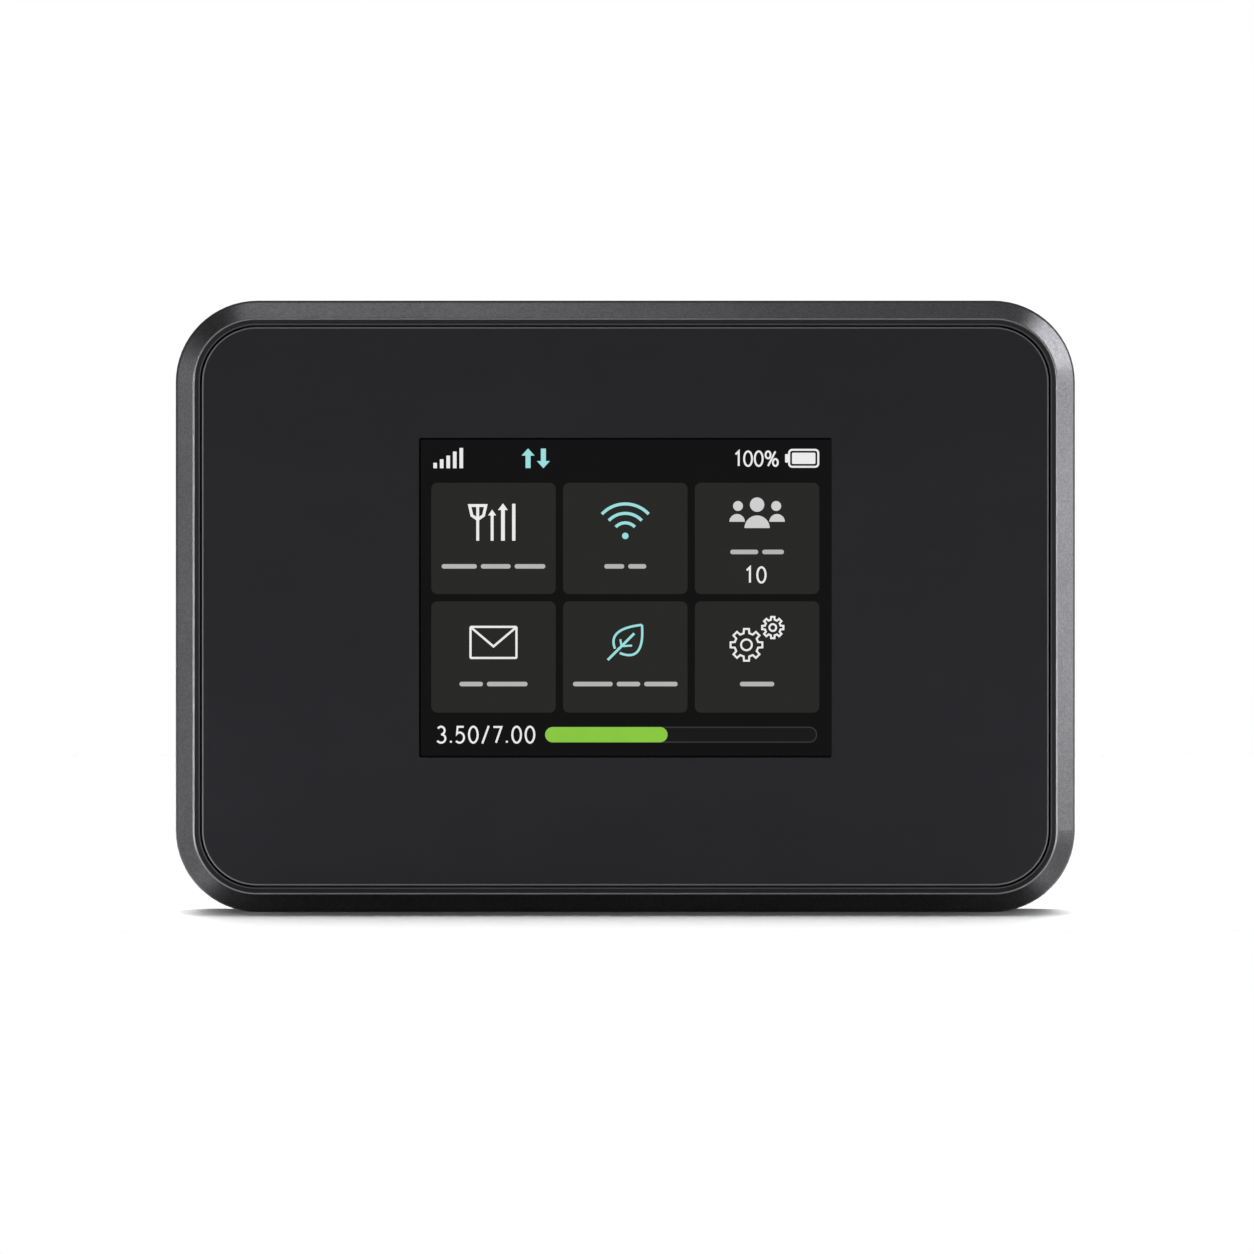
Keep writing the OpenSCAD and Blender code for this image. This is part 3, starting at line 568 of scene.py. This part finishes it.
def leaf(d, x, y):
    """A leaf's outline with its stem and two veins."""
    tip = (x + 1.85, y + 1.95)
    root = (x - 1.0, y - 1.0)
    upper = [curve_point(root, (x - 2.3, y + 1.5), tip, i / 16) for i in range(17)]
    lower = [curve_point(tip, (x + 2.2, y - 2.6), root, i / 16) for i in range(17)]
    d.stroke(upper[1:], 0.26)
    d.stroke(lower[:-1], 0.26)
    d.stroke([(x - 1.95, y - 1.95), (x + 1.0, y + 1.0)], 0.28)
    d.stroke([(x - 0.55, y + 0.35), (x - 0.42, y - 0.42), (x + 0.75, y - 0.35)], 0.22)


def curve_point(a, b, c, t):
    """A point a share t along the curve from a to c that b pulls on."""
    return tuple(a[i] * (1 - t) ** 2 + 2 * b[i] * t * (1 - t) + c[i] * t * t for i in (0, 1))


def gears(d, x, y):
    """A large gear and a small one beside it."""
    gear(d, x - 1.18, y + 1.35, 1.58, 8, 0.6)
    gear(d, x + 1.74, y + 3.27, 1.06, 8, 0.38)


def gear(d, x, y, radius, teeth, bore):
    """A toothed outline round a ring."""
    line = 0.21
    points = []
    for i in range(teeth):
        for share, reach in ((-0.3, 0.84), (-0.2, 1.13), (0.2, 1.13), (0.3, 0.84)):
            turn = 2 * math.pi * (i + share) / teeth + math.pi / 2
            out = radius * reach
            points.append((x + out * math.cos(turn), y + out * math.sin(turn)))
    d.stroke(points, line, closed=True)
    d.stroke(arc(x, y, bore, 0, 360)[:-1], line, closed=True)


def signal(d, x, foot):
    """Five posts, each taller than the one before."""
    for i, height in enumerate((0.6, 1.0, 1.4, 1.85, 2.25)):
        d.panel(x + 0.2 + 0.725 * i, foot + height / 2, 0.4, height)


def traffic(d, x, y):
    """An arrow up and an arrow down."""
    for side, way in ((-1, 1), (1, -1)):
        at = x + side * 0.85
        d.face([(at - 0.72, y + way * 0.3), (at, y + way * 1.1), (at + 0.72, y + way * 0.3)])
        d.panel(at, y - way * 0.38, 0.56, 1.4)


def charge(d, x, y):
    """A full battery, its cap to the left."""
    w, h = 3.45, 2.1
    d.stroke(rounded_box(x, y, w - 0.22, h - 0.22, 0.35), 0.22, closed=True)
    d.panel(x, y, w - 0.85, h - 0.85, 0.12)
    d.panel(x - w / 2 - 0.17, y, 0.34, 0.95, 0.1)


# ---------------------------------------------------------------- studio


def make_floor():
    """A plain white floor that takes the object's shadow."""
    left, right, front, back = -1.2, 1.2, -0.065, 1.2
    corners = [(left, front, 0), (right, front, 0), (right, back, 0), (left, back, 0)]
    data = bpy.data.meshes.new("floor")
    data.from_pydata(corners, [], [(0, 1, 2, 3)])
    floor = bpy.data.objects.new("floor", data)
    bpy.context.scene.collection.objects.link(floor)
    material = bpy.data.materials.new("studio_floor")
    material.use_nodes = True
    tree = material.node_tree
    tree.nodes.remove(tree.nodes["Principled BSDF"])
    white = tree.nodes.new("ShaderNodeBsdfDiffuse")
    white.inputs["Color"].default_value = (0.99, 0.99, 0.99, 1)
    tree.links.new(white.outputs[0], tree.nodes["Material Output"].inputs["Surface"])
    data.materials.append(material)


# The room that metal and glass mirror, what is left of it for every other ray, and soft patches
# in the mirrored room, each with how bright it is, how narrow, and where it lies: the white
# backdrop, the dark side behind the camera, a bright side on the left, and a paler one above.
ROOM_MIRRORED = 0.13
ROOM_FILL = 0.012
ROOM_PATCHES = (
    (1.00, 40.0, (0.0, 1.0, 0.0)),
    (-0.10, 8.0, (0.0, -1.0, 0.0)),
    (1.85, 17.0, (-1.0, -0.1, 0.16)),
    (0.48, 9.0, (0.05, -0.05, 1.0)),
)


def make_world():
    """White for the camera, and a room round the object for metal and glass to mirror."""
    world = bpy.data.worlds.new("studio")
    bpy.context.scene.world = world
    world.use_nodes = True
    tree = world.node_tree
    way = tree.nodes.new("ShaderNodeTexCoord").outputs["Generated"]
    path = tree.nodes.new("ShaderNodeLightPath")

    def math_node(operation, *inputs):
        node = tree.nodes.new("ShaderNodeMath")
        node.operation = operation
        for socket, value in zip(node.inputs, inputs):
            if isinstance(value, bpy.types.NodeSocket):
                tree.links.new(value, socket)
            else:
                socket.default_value = value
        return node.outputs[0]

    mirrored = math_node("MAXIMUM", path.outputs["Is Glossy Ray"],
                         path.outputs["Is Transmission Ray"])
    total = ROOM_MIRRORED
    for strength, narrow, direction in ROOM_PATCHES:
        turn = tree.nodes.new("ShaderNodeVectorMath")
        turn.operation = "DOT_PRODUCT"
        tree.links.new(way, turn.inputs[0])
        turn.inputs[1].default_value = Vector(direction).normalized()
        near = math_node("POWER", math_node("MAXIMUM", turn.outputs["Value"], 0.0), narrow)
        total = math_node("MULTIPLY_ADD", near, strength, total)
    total = math_node("MAXIMUM", math_node("MULTIPLY", total, mirrored), ROOM_FILL)

    room = tree.nodes["Background"]
    tree.links.new(total, room.inputs["Strength"])
    room.inputs["Color"].default_value = (1, 1, 1, 1)
    white = tree.nodes.new("ShaderNodeBackground")
    white.inputs["Color"].default_value = (1, 1, 1, 1)
    mix = tree.nodes.new("ShaderNodeMixShader")
    tree.links.new(path.outputs["Is Camera Ray"], mix.inputs[0])
    tree.links.new(room.outputs[0], mix.inputs[1])
    tree.links.new(white.outputs[0], mix.inputs[2])
    tree.links.new(mix.outputs[0], tree.nodes["World Output"].inputs["Surface"])


def area_light(name, place, size, bright, aim, diffuse=True, mirrored=True):
    """A soft box whose face is as bright as bright, where 1 is white."""
    lamp = bpy.data.lights.new(name, "AREA")
    lamp.shape, lamp.size, lamp.size_y = "RECTANGLE", size[0], size[1]
    lamp.energy = bright * math.pi * size[0] * size[1]
    holder = bpy.data.objects.new(name, lamp)
    bpy.context.scene.collection.objects.link(holder)
    holder.location = place
    holder.rotation_euler = (Vector(aim) - Vector(place)).to_track_quat("-Z", "Y").to_euler()
    holder.visible_diffuse = diffuse
    holder.visible_glossy = mirrored
    holder.visible_camera = False


def soft_sun(name, height, spread, bright):
    """Even light from behind, height degrees up; it lights the floor and isn't mirrored."""
    sun = bpy.data.lights.new(name, "SUN")
    sun.energy, sun.angle = bright * math.pi, math.radians(spread)
    holder = bpy.data.objects.new(name, sun)
    bpy.context.scene.collection.objects.link(holder)
    turn = math.radians(height)
    down = Vector((0, -math.cos(turn), -math.sin(turn)))
    holder.rotation_euler = down.to_track_quat("-Z", "Y").to_euler()
    holder.visible_glossy = False


# Soft boxes that gloss alone sees: name, place, size, how bright, and the point each faces
BOXES = (
    ("right_box", (0.26, 0.01, 0.205), (0.13, 0.41), 4.0, (0.0, 0.01, 0.205)),
    ("right_high", (0.24, 0.01, 0.20), (0.13, 0.21), 4.4, (0.0, 0.01, 0.20)),
    ("top_box", (-0.06, -0.005, 0.32), (0.13, 0.11), 1.35, (-0.06, -0.005, 0.0)),
)

# The low strips round the object: name, where they stand in degrees round from the front, and
# how much of a plain level each gives to a face turned to it
STRIPS = (
    ("front_left", -40, 0.75),
    ("front_right", 40, 0.55),
    ("back_left", -140, 0.40),
    ("back_right", 140, 0.40),
)
STRIP_AWAY = 1.0
STRIP_SIZE = (0.7, 0.10)

# Lamps close over the floor and facing down, where the shadow draws in at its two ends: before
# the object, and under its raised corners. How far across, how far back, how high, how long,
# and how bright.
SHADOW_ENDS = (
    ("end_before", 0.0505, -0.038, 0.0045, 0.057, 4.8),
    ("end_under", 0.0492, -0.0015, 0.0019, 0.016, 1.6),
)
END_WIDTH = 0.002

# The suns behind the object, from steep to low: degrees up, and how bright
SUNS = ((80, 0.40), (76, 0.23), (70, 0.15), (63, 0.13), (56, 0.11), (50, 0.08))
SUN_SPREAD = 7


def make_lights():
    """Soft boxes that the frame mirrors, low strips all round, and even light from behind."""
    for name, place, size, bright, aim in BOXES:
        area_light(name, place, size, bright, aim, diffuse=False)
    for name, turn, level in STRIPS:
        angle = math.radians(turn)
        place = (STRIP_AWAY * math.sin(angle), -STRIP_AWAY * math.cos(angle), 0.0)
        bright = level * math.pi * STRIP_AWAY ** 2 / (STRIP_SIZE[0] * STRIP_SIZE[1])
        area_light(name, place, STRIP_SIZE, bright, (0, 0, 0), mirrored=name.startswith("front"))
    for name, across, middle, height, length, bright in SHADOW_ENDS:
        for side, hand in (("left", -1), ("right", 1)):
            area_light(f"{name}_{side}", (hand * across, middle, height), (END_WIDTH, length),
                       bright, (hand * across, middle, 0.0), mirrored=False)
    for height, bright in SUNS:
        soft_sun(f"back_{height}", height, SUN_SPREAD, bright)


def make_camera():
    """Level and square to the face, far off with a long lens."""
    reach = 1.0
    beside, height = 0.19 * MM, 31.7 * MM
    front = -5.75 * MM
    view_w = 139.4 * MM
    data = bpy.data.cameras.new("camera")
    camera = bpy.data.objects.new("camera", data)
    bpy.context.scene.collection.objects.link(camera)
    data.sensor_width = 36
    data.lens = data.sensor_width * (reach + front) / view_w
    data.clip_start, data.clip_end = 0.05, 20
    camera.location = (beside, -reach, height)
    camera.rotation_euler = (math.pi / 2, 0, 0)
    bpy.context.scene.camera = camera


make_camera()
dress_cad_nodes()
make_display()
make_floor()
make_world()
make_lights()

bpy.context.scene.view_settings.view_transform = "Standard"
bpy.context.view_layer.update()
